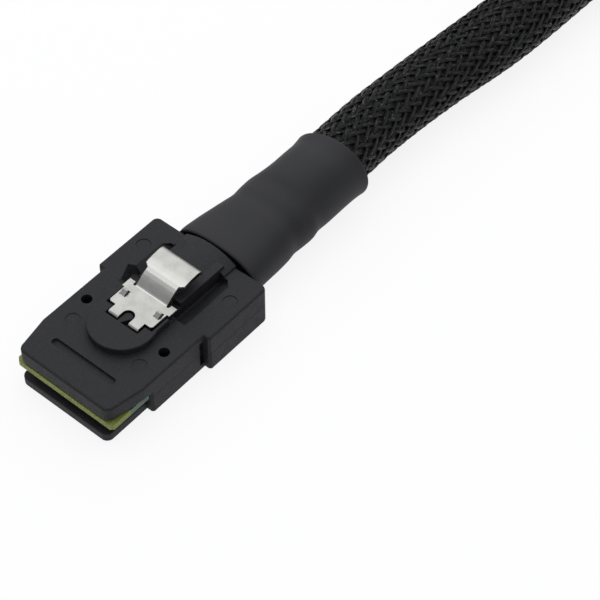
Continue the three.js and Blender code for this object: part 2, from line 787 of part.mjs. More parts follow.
// Data plug pieces, built with the leg's entry at y = 0 and the mating face towards +Y
const plugBoot = () => {
  const ring = (y, halfWidth, halfHeight) => [
    [1, -0.7], [1, 0.7], [0.8, 1], [-0.8, 1], [-1, 0.7], [-1, -0.7], [-0.8, -1], [0.8, -1],
  ].map(([u, v]) => new THREE.Vector3(u * halfWidth, y, v * halfHeight)).reverse();
  return skin([
    ring(0, dataPlug.bootRearHalfWidth, dataPlug.bootRearHalfHeight),
    ring(dataPlug.bootLength * 0.55, dataPlug.bootRearHalfWidth + 0.5, dataPlug.bootRearHalfHeight),
    ring(dataPlug.bootLength * 0.7, dataPlug.bootFrontHalfWidth, dataPlug.bootFrontHalfHeight),
    ring(dataPlug.bootLength, dataPlug.bootFrontHalfWidth, dataPlug.bootFrontHalfHeight),
  ]);
};

const plugFront = dataPlug.bootLength + dataPlug.gap + dataPlug.length;
const mouthLow = -dataPlug.mouthHeight / 2;

const plugHousing = () => {
  const { halfWidth: w, halfHeight: h, edgeRound: e } = dataPlug;
  const rear = dataPlug.bootLength + dataPlug.gap;
  const body = profileAlong([
    [w - e, -h], [w, e - h], [w, h - e], [w - e, h], [e - w, h], [-w, h - e], [-w, e - h], [e - w, -h],
  ], rear, plugFront);
  const mouth = block(-dataPlug.mouthHalfWidth, dataPlug.mouthHalfWidth, plugFront - dataPlug.mouthDepth,
    plugFront + 1, mouthLow, mouthLow + dataPlug.mouthHeight);
  const key = block(dataPlug.mouthHalfWidth - dataPlug.keyWidth, dataPlug.mouthHalfWidth,
    plugFront - dataPlug.mouthDepth, plugFront + 1, mouthLow, mouthLow + dataPlug.keyHeight);
  let housingSolid = body.subtract(mouth).subtract(key);
  for (let i = 0; i < dataPlug.gripCount; i += 1) {
    const y = rear + 2 + i * dataPlug.gripPitch;
    for (const side of [1, -1]) {
      const z0 = side > 0 ? h - dataPlug.gripDepth : -h - 1;
      const z1 = side > 0 ? h + 1 : dataPlug.gripDepth - h;
      housingSolid = housingSolid.subtract(block(3 - w, w - 3, y, y + dataPlug.gripWidth, z0, z1));
    }
  }
  return housingSolid;
};

const plugInsert = () => {
  const rear = plugFront - dataPlug.mouthDepth + dataPlug.fit;
  const low = mouthLow + dataPlug.fit;
  const halfWidth = dataPlug.mouthHalfWidth - dataPlug.keyWidth - dataPlug.fit;
  const left = -dataPlug.mouthHalfWidth + dataPlug.fit;
  let wafer = block(left, halfWidth, rear, plugFront - 0.8, low, low + dataPlug.waferThickness - 0.2);
  const middle = (left + halfWidth) / 2;
  for (let i = 0; i < dataPlug.contactCount; i += 1) {
    const x = middle + (i - (dataPlug.contactCount - 1) / 2) * (dataPlug.contactPitch * 0.86);
    wafer = wafer.add(block(x - dataPlug.contactWidth / 2, x + dataPlug.contactWidth / 2, rear + 0.3,
      plugFront - 1.1, low + 0.5, low + dataPlug.waferThickness - 0.2 + dataPlug.contactHeight));
  }
  return wafer;
};

// Nylon tie round the bundle and the bunch of legs: a closed strap with its square head on top
const coilTie = () => {
  const inner = coil.innerRadius - leg.pitch / 2 - leg.radius - tie.clearance;
  const outer = coil.radius + bundle.radius + tie.clearance;
  const low = tie.thickness + 0.05;
  const high = bundle.restHeight + coil.tieLift + bundle.radius + tie.clearance;
  const rounded = (grow) => {
    const r = tie.cornerRadius + grow;
    const [x0, x1, z0, z1] = [inner - grow, outer + grow, low - grow, high + grow];
    const shape = new THREE.Shape();
    shape.absarc(x1 - r, z0 + r, r, -Math.PI / 2, 0);
    shape.absarc(x1 - r, z1 - r, r, 0, Math.PI / 2);
    shape.absarc(x0 + r, z1 - r, r, Math.PI / 2, Math.PI);
    shape.absarc(x0 + r, z0 + r, r, Math.PI, 1.5 * Math.PI);
    shape.closePath();
    return shape.getPoints(6).slice(0, -1).map((point) => [point.x, point.y]);
  };
  const half = tie.width / 2;
  const strap = profileAlong(rounded(tie.thickness), -half, half)
    .subtract(profileAlong(rounded(0), -half - 1, half + 1));
  const headX = (inner + outer) / 2 - 2;
  const head = block(headX - tie.head / 2, headX + tie.head / 2, -tie.head / 2, tie.head / 2,
    high + 0.3, high + tie.headHeight);
  const tail = block(headX + tie.head / 2 - 0.5, headX + tie.head / 2 + tie.tail, -half, half,
    high + tie.headHeight - 1.6, high + tie.headHeight - 0.5);
  return strap.add(head).add(tail);
};

// Assembly
const cable = new THREE.Group();
cable.position.y = -(housing.length - nose.bottomReach) / 2;

const addMesh = (parent, name, geometry, material) => {
  const mesh = new THREE.Mesh(geometry, material);
  mesh.name = name;
  parent.add(mesh);
  return mesh;
};
const addSolid = (parent, name, solid, material) => addMesh(parent, name, toGeometry(solid), material);

addSolid(cable, 'top_cover', topCover(), blackMoulding);
addSolid(cable, 'bottom_cover', bottomCover(), blackMoulding);
addSolid(cable, 'paddle_card', paddleCard(), circuitCard);
addSolid(cable, 'latch_spring', latchSpring(), springSteel);
pair.places.forEach((x, i) => {
  addSolid(cable, `pair_top_${i + 1}`, conductorPair(x, true), conductorJacket);
  addSolid(cable, `pair_bottom_${i + 1}`, conductorPair(x, false), conductorJacket);
});
addSolid(cable, 'potting_block', pottingBlock(), hotMelt);
addSolid(cable, 'cable_core', cableCore(), legJacket);
addSolid(cable, 'shrink_sleeve', shrinkSleeve(), shrinkRubber);

const routePoints = bundleRoute.map(([x, y, z]) => new THREE.Vector3(x, y, z));
addMesh(cable, 'braided_bundle', cordSolid(routePoints, bundle.radius, bundle.sides, 14), braid);
const coilPoints = bundleCoilPoints();
addMesh(cable, 'bundle_coil', cordSolid(coilPoints, bundle.radius, bundle.sides, coilPoints.length - 1), braid);
addSolid(cable, 'breakout_shrink', breakoutShrink(), shrinkRubber);

let legNumber = 0;
for (const level of [0, 1]) {
  for (const row of [0, 1]) {
    legNumber += 1;
    const points = legPoints(row, level);
    addMesh(cable, `leg_${legNumber}`, cordSolid(points, leg.radius, leg.sides, leg.steps), legJacket);
    const plug = new THREE.Group();
    const forward = legHeading(leg.end);
    plug.position.copy(legPoint(leg.end, row, level)).addScaledVector(forward, dataPlug.gap);
    plug.rotation.z = Math.atan2(-forward.x, forward.y);
    addSolid(plug, `leg_boot_${legNumber}`, plugBoot(), blackMoulding);
    addSolid(plug, `plug_housing_${legNumber}`, plugHousing(), blackMoulding);
    addSolid(plug, `plug_insert_${legNumber}`, plugInsert(), contactMetal);
    cable.add(plug);
  }
}

const tieGroup = new THREE.Group();
tieGroup.position.set(coil.centre[0], coil.centre[1], 0);
tieGroup.rotation.z = degrees(coil.tieAngle);
addSolid(tieGroup, 'coil_tie', coilTie(), nylon);
cable.add(tieGroup);

export default cable;
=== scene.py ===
import math

import bpy
import numpy as np
from mathutils import Matrix


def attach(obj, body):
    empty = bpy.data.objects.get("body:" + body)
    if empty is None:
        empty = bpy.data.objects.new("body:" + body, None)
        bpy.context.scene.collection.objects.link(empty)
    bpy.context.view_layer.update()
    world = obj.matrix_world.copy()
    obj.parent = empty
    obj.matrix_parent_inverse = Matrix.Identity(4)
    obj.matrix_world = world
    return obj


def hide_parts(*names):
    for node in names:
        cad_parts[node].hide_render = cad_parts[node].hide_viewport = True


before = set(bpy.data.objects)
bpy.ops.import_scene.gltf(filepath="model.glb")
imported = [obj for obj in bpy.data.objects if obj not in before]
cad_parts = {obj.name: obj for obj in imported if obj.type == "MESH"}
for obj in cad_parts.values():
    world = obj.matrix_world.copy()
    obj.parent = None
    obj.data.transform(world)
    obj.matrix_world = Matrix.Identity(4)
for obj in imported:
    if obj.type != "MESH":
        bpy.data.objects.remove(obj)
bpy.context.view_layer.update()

MM = 0.001
HOUSING_LENGTH = 32.8
NOSE_REACH = 0.4
PLUG_MIDDLE = (HOUSING_LENGTH - NOSE_REACH) / 2


def to_row(points):
    """Points counted in millimetres from the plug's nose face become metres in the part's own frame."""
    points = np.array(points, float)
    points[..., 1] -= PLUG_MIDDLE
    return points * MM


# Camera at the photograph's viewing angle
CAMERA_AZIMUTH = math.radians(40.0)
CAMERA_ELEVATION = math.radians(50.17)
CAMERA_ROLL = math.radians(0.15)
CAMERA_PLACE = (0.1402, -0.1292, 0.2377)
CAMERA_LENS = 119.16
SENSOR_WIDTH = 36


def placed(right, up, back, place):
    """The matrix of a camera or lamp from its three axes and its place."""
    turned = np.identity(4)
    turned[:3, 0] = right
    turned[:3, 1] = up
    turned[:3, 2] = back
    turned[:3, 3] = place
    return Matrix(turned.tolist())


def place_camera():
    back = np.array([
        math.sin(CAMERA_AZIMUTH) * math.cos(CAMERA_ELEVATION),
        -math.cos(CAMERA_AZIMUTH) * math.cos(CAMERA_ELEVATION),
        math.sin(CAMERA_ELEVATION),
    ])
    level = np.cross(-back, [0, 0, 1])
    level /= np.linalg.norm(level)
    above = np.cross(level, -back)
    right = level * math.cos(CAMERA_ROLL) + above * math.sin(CAMERA_ROLL)
    up = above * math.cos(CAMERA_ROLL) - level * math.sin(CAMERA_ROLL)
    data = bpy.data.cameras.new("photo_camera")
    data.lens = CAMERA_LENS
    data.sensor_width = SENSOR_WIDTH
    data.clip_start = 0.005
    data.clip_end = 20
    camera = bpy.data.objects.new("photo_camera", data)
    bpy.context.scene.collection.objects.link(camera)
    camera.matrix_world = placed(right, up, back, CAMERA_PLACE)
    bpy.context.scene.camera = camera


place_camera()


# Shader maths
class Pattern:
    """A number or colour that varies over a surface. Sums on it add Math nodes."""

    def __init__(self, finish, socket):
        self.finish = finish
        self.socket = socket

    def maths(self, operation, *others):
        """One Math node on this pattern and up to two more patterns or numbers."""
        return self.finish.add(
            "ShaderNodeMath", {"operation": operation}, dict(enumerate((self, *others))))

    def __add__(self, other):
        return self.maths("ADD", other)

    __radd__ = __add__

    def __sub__(self, other):
        return self.maths("SUBTRACT", other)

    def __rsub__(self, other):
        return self * -1.0 + other

    def __mul__(self, other):
        return self.maths("MULTIPLY", other)

    __rmul__ = __mul__

    def __abs__(self):
        return self.maths("ABSOLUTE")

    def above(self, edge):
        return self.maths("GREATER_THAN", edge)

    def between(self, low, high):
        """0 at low and under, 1 at high and over, and smooth in between."""
        return self.finish.add(
            "ShaderNodeMapRange", {"interpolation_type": "SMOOTHSTEP"}, {0: self, 1: low, 2: high})

    def rising(self, span):
        """A place in metres becomes 0 before a span in millimetres and 1 past it."""
        return self.between(span[0] * MM, span[1] * MM)

    def falling(self, span):
        """A place in metres becomes 1 before a span in millimetres and 0 past it."""
        return self.between(span[1] * MM, span[0] * MM)


class Finish:
    """One surface finish: a Principled shader and the nodes that feed it."""

    def __init__(self, name, **shader_values):
        self.material = bpy.data.materials.new(name)
        self.material.use_nodes = True
        self.tree = self.material.node_tree
        self.tree.nodes.clear()
        self.shader = self.tree.nodes.new("ShaderNodeBsdfPrincipled")
        self.output = self.tree.nodes.new("ShaderNodeOutputMaterial")
        self.tree.links.new(self.shader.outputs[0], self.output.inputs[0])
        self.surface(**shader_values)

    def fill(self, node, values):
        """Links patterns to a node's sockets, and sets the rest."""
        for key, value in values.items():
            if isinstance(value, Pattern):
                self.tree.links.new(value.socket, node.inputs[key])
            else:
                node.inputs[key].default_value = value

    def surface(self, **values):
        """Sets or links the shader's sockets, named with underscores for spaces."""
        self.fill(self.shader, {key.replace("_", " "): value for key, value in values.items()})

    def add(self, kind, settings=None, values=None, output=0):
        """A node from its type, its settings and its sockets' values, as the pattern of one output."""
        node = self.tree.nodes.new(kind)
        for key, value in (settings or {}).items():
            setattr(node, key, value)
        self.fill(node, values or {})
        return Pattern(self, node.outputs[output])

    def place(self):
        """Coordinates in metres that stay with the piece."""
        return self.add("ShaderNodeTexCoord", output=3)

    def axis(self, number, source=None):
        return self.add("ShaderNodeSeparateXYZ", values={0: source or self.place()}, output=number)

    def noise(self, size_mm, detail=2.0, roughness=0.5, source=None, stretch=None):
        """Soft random patches of about a size in millimetres, drawn out where stretch is under 1."""
        source = source or self.place()
        if stretch:
            source = self.add("ShaderNodeMapping", values={"Vector": source, "Scale": stretch})
        return self.add("ShaderNodeTexNoise", values={
            "Vector": source, "Scale": 1 / (size_mm * MM), "Detail": detail, "Roughness": roughness})

    def mix(self, factor, first, second):
        return self.add("ShaderNodeMix", {"data_type": "RGBA"}, {0: factor, 6: first, 7: second}, output=2)

    def rounded(self, radius_mm):
        """Normals that round the sharp edges off by a small radius."""
        return self.add("ShaderNodeBevel", {"samples": 6}, {"Radius": radius_mm * MM})

    def bump(self, height, depth_mm, normal=None):
        values = {"Strength": 1.0, "Distance": depth_mm * MM, "Height": height}
        if normal:
            values["Normal"] = normal
        return self.add("ShaderNodeBump", values=values)


def grey(level):
    return (level, level, level, 1)


def grained_moulding():
    """Black plastic from a spark-eroded mould: a fine pebble grain, with lighter speckles of colour
    painted as glints where the grain catches the light.
    """
    finish = Finish("grained_black_moulding")
    grain = finish.noise(0.16, detail=1.0)
    patches = finish.noise(1.1, detail=3.0)
    painted_glint_specks = grain.between(0.56, 0.74)
    # Painted glints: lighter colour in small speckles; broader patches vary the tone.
    colour = finish.mix(
        painted_glint_specks * 0.6 + patches * 0.3, (0.0092, 0.0093, 0.0115, 1), (0.034, 0.035, 0.0425, 1))
    finish.surface(
        Base_Color=colour,
        Roughness=0.5 + patches * 0.2 - painted_glint_specks * 0.1,
        Normal=finish.bump(grain + patches * 0.4, 0.04, finish.rounded(0.16)),
        Specular_IOR_Level=0.22)
    return finish.material


def smooth_moulding(name, level):
    """Plainer black plastic with a light grain."""
    finish = Finish(name)
    grain = finish.noise(0.3, detail=2.0)
    worn = finish.noise(4.0, detail=3.0)
    finish.surface(
        Base_Color=finish.mix(worn, grey(level * 0.8), grey(level * 1.3)),
        Roughness=0.42 + grain * 0.2,
        Normal=finish.bump(grain, 0.012, finish.rounded(0.2)),
        Specular_IOR_Level=0.4)
    return finish.material


# The latch's bend, the bands of painted shade and painted highlight behind it and the painted highlight
# along it, in millimetres
LATCH_BEND = 19.4
FOOT_SHADE = (0.6, 1.6)
CLIMB_LIGHT = (0.7, 2.4)
CREST_LIGHT = (2.7, 4.8)
BEND_HIGHLIGHT = (0.06, 0.22)
BEND_HIGHLIGHT_END = (3.0, 3.3)


def stamped_steel():
    """Bright rolled strip: fine lines along it, faint stains, painted shade low on the ramp, a painted
    highlight higher up it and a painted highlight along the bend line.
    """
    finish = Finish("stamped_steel", Metallic=1.0)
    lines = finish.noise(0.09, detail=2.0, stretch=(1.0, 0.05, 1.0))
    stains = finish.noise(2.2, detail=4.0, roughness=0.6)
    across = abs(finish.axis(0))
    behind = finish.axis(1) - (LATCH_BEND - PLUG_MIDDLE) * MM
    # Painted shade darkens the ramp just past the bend; a painted highlight lightens it further up, and
    # another painted highlight runs along the bend.
    ramp_base_shade = behind.above(0.0) * behind.falling(FOOT_SHADE)
    ramp_highlight = behind.rising(CLIMB_LIGHT) * behind.falling(CREST_LIGHT)
    bend_highlight = abs(behind).falling(BEND_HIGHLIGHT) * across.falling(BEND_HIGHLIGHT_END)
    rolled = finish.mix(stains.between(0.3, 0.7), (0.31, 0.31, 0.295, 1), (0.38, 0.38, 0.36, 1))
    # The rolled colour darkened by the painted shade, then lightened by the painted highlights.
    shaded = finish.mix(ramp_base_shade * 0.15, rolled, (0.16, 0.155, 0.135, 1))
    finish.surface(
        Base_Color=finish.mix(bend_highlight * 0.7 + ramp_highlight * 0.5, shaded, (0.66, 0.66, 0.63, 1)),
        Roughness=0.27 + stains * 0.1 + lines * 0.08,
        Normal=finish.bump(lines, 0.004, finish.rounded(0.11)))
    return finish.material


# Where the card's solder mask starts, and how far its edge wanders, in millimetres
MASK_EDGE = 4.3
MASK_WANDER = 0.6


def card_board():
    """Glass-epoxy card: bare yellow-green laminate at the front, and green solder mask behind it."""
    finish = Finish("card_board")
    cloth = finish.noise(0.25, detail=1.0, stretch=(1.0, 3.0, 1.0))
    ripple = finish.noise(0.6, detail=2.0)
    bare = finish.mix(cloth.between(0.35, 0.65), (0.1, 0.125, 0.018, 1), (0.24, 0.28, 0.06, 1))
    masked = finish.mix(ripple, (0.008, 0.05, 0.022, 1), (0.02, 0.1, 0.045, 1))
    mask = (finish.axis(1) + ripple * (MASK_WANDER * MM)).above((MASK_EDGE - PLUG_MIDDLE) * MM)
    finish.surface(
        Base_Color=finish.mix(mask, bare, masked),
        Roughness=0.5 + cloth * 0.2 - mask * 0.25,
        Normal=finish.bump(cloth, 0.008))
    return finish.material


def gold_plate():
    """Gold contacts, scuffed lengthways."""
    finish = Finish("gold_plate", Metallic=1.0)
    scuffs = finish.noise(0.12, detail=3.0, stretch=(1.0, 0.15, 1.0))
    finish.surface(
        Base_Color=finish.mix(scuffs, (0.78, 0.52, 0.17, 1), (0.95, 0.72, 0.3, 1)),
        Roughness=0.22 + scuffs * 0.16,
        Normal=finish.bump(scuffs, 0.003))
    return finish.material


def hot_melt():
    """Milky moulded glue with a flowed surface."""
    finish = Finish("hot_melt")
    flow = finish.noise(1.4, detail=3.0)
    finish.surface(
        Base_Color=finish.mix(flow, (0.55, 0.5, 0.36, 1), (0.72, 0.68, 0.56, 1)),
        Roughness=0.35 + flow * 0.2,
        Normal=finish.bump(flow, 0.05))
    return finish.material


def pair_jacket():
    """Blue skin of the twin conductors."""
    finish = Finish("pair_jacket")
    sheen = finish.noise(0.7, detail=2.0, stretch=(1.0, 0.2, 1.0))
    finish.surface(
        Base_Color=finish.mix(sheen, (0.1, 0.16, 0.33, 1), (0.16, 0.24, 0.45, 1)),
        Roughness=0.35 + sheen * 0.15,
        Normal=finish.bump(sheen, 0.01))
    return finish.material


def shrink_tube():
    """Heat-shrink: a satin skin with a very fine tooth, faint broad unevenness and a few rubbed spots."""
    finish = Finish("shrink_tube")
    tooth = finish.noise(0.1, detail=1.0)
    broad = finish.noise(5.0, detail=3.0)
    rubs = finish.noise(1.2, detail=4.0, roughness=0.7).between(0.6, 0.78)
    finish.surface(
        Base_Color=finish.mix(broad, (0.0145, 0.0145, 0.017, 1), (0.019, 0.019, 0.0215, 1)),
        Roughness=0.56 + broad * 0.08 - rubs * 0.06,
        Normal=finish.bump(tooth + broad * 3.0, 0.012),
        Specular_IOR_Level=0.28)
    return finish.material


# Ridges across one ribbon of the braid
FILAMENTS = 5


def braid_filaments():
    """Glossy monofilaments. The ribbon attribute holds the place across a ribbon, from -1 to 1, the place
    along it in millimetres, and the ribbon's own tone."""
    finish = Finish("braid_filaments")
    ribbon = finish.add("ShaderNodeAttribute", {"attribute_name": "ribbon"}, output=1)
    across = finish.axis(0, ribbon)
    tone = finish.axis(2, ribbon)
    ridges_and_groove_shade = abs(((across + 1.0) * (math.pi * FILAMENTS / 2)).maths("SINE"))
    streaks = finish.noise(1.0, detail=2.0, source=ribbon, stretch=(0.0028, 0.0011, 0.03))
    glints = streaks.between(0.57, 0.7)
    # Base colour holds painted shade in the grooves between filaments, darker than their crests, and goes
    # darker or lighter along random streaks.
    finish.surface(
        Base_Color=finish.mix(
            ridges_and_groove_shade * 0.5 + streaks.between(0.35, 0.6) * 0.5,
            (0.0006, 0.0006, 0.0009, 1), (0.0062, 0.0062, 0.0078, 1)),
        Roughness=0.24 + tone * 0.16 - glints * 0.12,
        Coat_Weight=glints,
        Coat_Roughness=0.1,
        Coat_Tint=(0.85, 0.92, 1.0, 1),
        Normal=finish.bump(ridges_and_groove_shade, 0.16),
        Specular_IOR_Level=0.27)
    return finish.material


def dark_lining():
    """What shows between the braid's ribbons."""
    finish = Finish("dark_lining")
    lint = finish.noise(0.4)
    finish.surface(
        Base_Color=finish.mix(lint, grey(0.002), grey(0.004)),
        Roughness=0.75 + lint * 0.15,
        Normal=finish.bump(lint, 0.02))
    return finish.material


def leg_jacket():
    """Extruded cable jacket: satin black, unevenly dull, with a fine tooth."""
    finish = Finish("leg_jacket")
    dull = finish.noise(3.0, detail=3.0)
    tooth = finish.noise(0.2, detail=2.0)
    finish.surface(
        Base_Color=finish.mix(dull, grey(0.011), grey(0.017)),
        Roughness=0.38 + dull * 0.16,
        Normal=finish.bump(tooth + dull, 0.012),
        Specular_IOR_Level=0.45)
    return finish.material


def nylon_strap():
    """Moulded tie, a little cloudy."""
    finish = Finish("nylon_strap")
    cloud = finish.noise(2.0, detail=2.0)
    finish.surface(
        Base_Color=finish.mix(cloud, grey(0.008), grey(0.013)),
        Roughness=0.36 + cloud * 0.16,
        Normal=finish.bump(cloud, 0.02, finish.rounded(0.2)),
        Specular_IOR_Level=0.45)
    return finish.material


MOULDING = grained_moulding()
PLUG_MOULDING = smooth_moulding("data_plug_moulding", 0.014)
BOOT_MOULDING = smooth_moulding("boot_moulding", 0.011)
WAFER = smooth_moulding("wafer_moulding", 0.02)
STEEL = stamped_steel()
CARD = card_board()
GOLD = gold_plate()
MELT = hot_melt()
PAIR = pair_jacket()
SHRINK = shrink_tube()
BRAID = braid_filaments()
LINING = dark_lining()
JACKET = leg_jacket()
NYLON = nylon_strap()


# Mesh helpers
def new_mesh(name, vertices, faces, material, flat=0):
    """A piece of the cable from vertices in metres. As many of its last faces as flat says stay flat."""
    mesh = bpy.data.meshes.new(name)
    mesh.from_pydata(vertices.tolist(), [], faces)
    mesh.materials.append(material)
    mesh.polygons.foreach_set("use_smooth", [True] * (len(faces) - flat) + [False] * flat)
    mesh.update()
    piece = bpy.data.objects.new(name, mesh)
    bpy.context.scene.collection.objects.link(piece)
    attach(piece, "cable")
    return piece


# Steps of a route's curve between two of its points
CURVE_STEPS = 24


def smooth_route(points, spacing):
    """Catmull-Rom curve through points of any dimension, resampled evenly along its first three axes."""
    points = np.array(points, float)
    ends = [2 * points[0] - points[1], 2 * points[-1] - points[-2]]
    padded = np.vstack([ends[0], points, ends[1]])
    share = np.linspace(0, 1, CURVE_STEPS, endpoint=False)[:, None]
    pieces = []
    for a, b, c, d in zip(padded, padded[1:], padded[2:], padded[3:]):
        pieces.append(0.5 * (2 * b + (c - a) * share + (2 * a - 5 * b + 4 * c - d) * share ** 2
                             + (3 * b - a - 3 * c + d) * share ** 3))
    curve = np.vstack(pieces + [points[-1:]])
    return even_steps(curve, spacing)


def even_steps(curve, spacing):
    """The same curve in equal steps, counted along its first three axes."""
    steps = np.linalg.norm(np.diff(curve[:, :3], axis=0), axis=1)
    travelled = np.concatenate([[0], np.cumsum(steps)])
    count = max(2, int(round(travelled[-1] / spacing)) + 1)
    wanted = np.linspace(0, travelled[-1], count)
    return np.stack([np.interp(wanted, travelled, curve[:, k]) for k in range(curve.shape[1])], axis=1)


def route_length(route):
    return float(np.linalg.norm(np.diff(route, axis=0), axis=1).sum())


def carried_frames(route):
    """Tangents and two side vectors along a route, carried along it without twist."""
    tangents = np.gradient(route, axis=0)
    tangents /= np.linalg.norm(tangents, axis=1)[:, None]
    side = np.cross(tangents[0], [0, 0, 1.0])
    sides = []
    for tangent in tangents:
        side = side - tangent * side.dot(tangent)
        side = side / np.linalg.norm(side)
        sides.append(side)
    sides = np.array(sides)
    return tangents, sides, np.cross(sides, tangents)


def ring_faces(rings, sides):
    """Quads between neighbouring rings."""
    faces = []
    for ring in range(rings - 1):
        start = ring * sides
        for k in range(sides):
            after = (k + 1) % sides
            faces.append((start + k, start + after, start + sides + after, start + sides + k))
    return faces


def skin_faces(rings, sides):
    """Quads of a skin swept outside and back inside, so that its last ring joins its first."""
    last = (rings - 1) * sides
    return ring_faces(rings, sides) + [
        (last + k, last + (k + 1) % sides, (k + 1) % sides, k) for k in range(sides)]


def round_turn(sides):
    return np.linspace(0, 2 * math.pi, sides, endpoint=False)


def round_tube(name, route, radius, sides, material):
    """A tube along a route, with one flat face at each end."""
    _, side, above = carried_frames(route)
    turn = round_turn(sides)[None, :, None]
    rings = route[:, None] + radius * (np.cos(turn) * side[:, None] + np.sin(turn) * above[:, None])
    last = (len(route) - 1) * sides
    caps = [tuple(reversed(range(sides))), tuple(range(last, last + sides))]
    return new_mesh(name, rings.reshape(-1, 3), ring_faces(len(route), sides) + caps, material, flat=2)


# Cord routes in millimetres and degrees. The coil and the legs have the part's own numbers
BUNDLE_REST = 5.7
COIL_CENTRE = (-51.7, 168.0)
COIL_RADIUS = 58.0
COIL_END = 211.4
COLLAR_START = 203.4
COLLAR_END = 230.0
COLLAR_WALL = 0.8
COLLAR_BORE = 6.0
COLLAR_SLACK = 0.1
COLLAR_HEIGHT = COLLAR_BORE + COLLAR_WALL + COLLAR_SLACK
RISE = 30.0
TIE_ANGLE = 2.0
TIE_LIFT = 1.05
TIE_HOLD = 4.0
TIE_SPREAD = 26.0
LEG_START = 214.0
LEG_RADIUS = 2.2
LEG_PITCH = 4.7
LEG_LOW = 2.35
INNER_RADIUS = 46.9
INNER_FROM = 340.0
FAN_START = 370.0
LEG_END = 440.0
WIND_IN = 7.5
PLUG_HALF_WIDTH = 7.3
PLUG_HALF_HEIGHT = 3.8
PLUG_GAP = 0.3
PLUG_FLOOR = 0.1

BUNDLE_ROUTE = [
    (1.45, 54, 6.22), (1.45, 58, 6.3), (1.25, 64, 6.2), (1.05, 71, 6), (1.3, 79, 5.8), (2.05, 89, 5.7),
    (3.2, 100, 5.7), (3.95, 111, 5.7), (4.55, 122, 5.7), (5.15, 134, 5.75), (5.72, 146, 5.9),
    (6.15, 157, 6.25),
]


def smooth_step(value, low, high):
    """0 at low and under, 1 at high and over, and smooth in between."""
    share = min(max((value - low) / (high - low), 0), 1)
    return share * share * (3 - 2 * share)


def tie_lift(angle):
    """How far the tie's strap lifts what passes over it."""
    away = abs(((angle - TIE_ANGLE + 540) % 360) - 180)
    return TIE_LIFT * (1 - smooth_step(away, TIE_HOLD, TIE_SPREAD))


def on_coil(angle, radius, height):
    """A point at an angle in degrees and a radius round the coil's centre."""
    turned = math.radians(angle)
    return np.array([
        COIL_CENTRE[0] + radius * math.cos(turned), COIL_CENTRE[1] + radius * math.sin(turned), height])


def coil_point(angle):
    """Middle of the bundle on the coil, which climbs to the collar and over the tie's strap."""
    rise = smooth_step(angle, COLLAR_START - RISE, COLLAR_START - 2)
    height = BUNDLE_REST + (COLLAR_HEIGHT - BUNDLE_REST) * rise + tie_lift(angle)
    return on_coil(angle, COIL_RADIUS, height)


def leg_centre(angle):
    """Middle of the four legs, which step inside the bundle and wind in towards their plugs."""
    inward = smooth_step(angle, COLLAR_END + 1, INNER_FROM)
    wound = math.radians(max(angle - FAN_START, 0))
    radius = COIL_RADIUS + (INNER_RADIUS - COIL_RADIUS) * inward - WIND_IN * wound ** 2
    return on_coil(angle, radius, 0)


HEADING_STEP = 0.05


def leg_heading(angle):
    heading = leg_centre(angle + HEADING_STEP) - leg_centre(angle - HEADING_STEP)
    return heading / np.linalg.norm(heading)


def leg_point(angle, row, level):
    """Middle of one leg: bunched from the collar on, and fanned out to its plug at the end."""
    fan = smooth_step(angle, FAN_START, LEG_END)
    heading = leg_heading(angle)
    outward = np.array([heading[1], -heading[0], 0])
    plug_pitch = 2 * PLUG_HALF_WIDTH + PLUG_GAP
    side = (row - 0.5) * (LEG_PITCH + (plug_pitch - LEG_PITCH) * fan)
    fall = smooth_step(angle, COLLAR_END + 2, COLLAR_END + 2 + RISE)
    lift = (COLLAR_HEIGHT - (LEG_LOW + LEG_PITCH / 2)) * (1 - fall)
    bunch = LEG_LOW + level * LEG_PITCH + lift + tie_lift(angle)
    plug = PLUG_FLOOR + PLUG_HALF_HEIGHT + level * (2 * PLUG_HALF_HEIGHT + PLUG_GAP)
    point = leg_centre(angle) + outward * side
    point[2] = bunch + (plug - bunch) * fan
    return point


COIL_POINTS = 30
BUNDLE_STEP = 0.6
CORE_RADIUS = 5.0
CORE_SIDES = 24

coil_points = [tuple(coil_point(angle)) for angle in np.linspace(0, COIL_END, COIL_POINTS)]
bundle_route = to_row(smooth_route(BUNDLE_ROUTE + coil_points, BUNDLE_STEP))
bundle_core = round_tube("bundle_core", bundle_route, CORE_RADIUS * MM, CORE_SIDES, LINING)


# Braided sleeving: ribbons of monofilaments, each over two and under two of the other way round
CARRIERS = 28
BRAID_ANGLE = math.radians(25.0)
TURN_RADIUS = 5.5
RIBBON_RADIUS = 5.33
RIBBON_WIDTH = 1.14
RIBBON_PROFILE = np.array([(-0.5, -0.13), (-0.26, 0.02), (0.0, 0.07), (0.26, 0.02), (0.5, -0.13)])
RIBBON_WAVE = 0.16
WAVE_STEEPNESS = 1.5
WANDER = 0.022
WANDER_LENGTH = 2.7
WANDER_SHIFT = 1.9

# Where the bundle lies wider than high
SPREAD = 0.6
SPREAD_MIDDLE = 50.0
SPREAD_REACH = 14.0


def strip_quads(rows, columns):
    """Quads of a strip of points, as indices from 0."""
    corner = np.arange(rows - 1)[:, None] * columns + np.arange(columns - 1)[None, :]
    return np.stack([corner, corner + 1, corner + columns + 1, corner + columns], axis=-1).reshape(-1, 4)


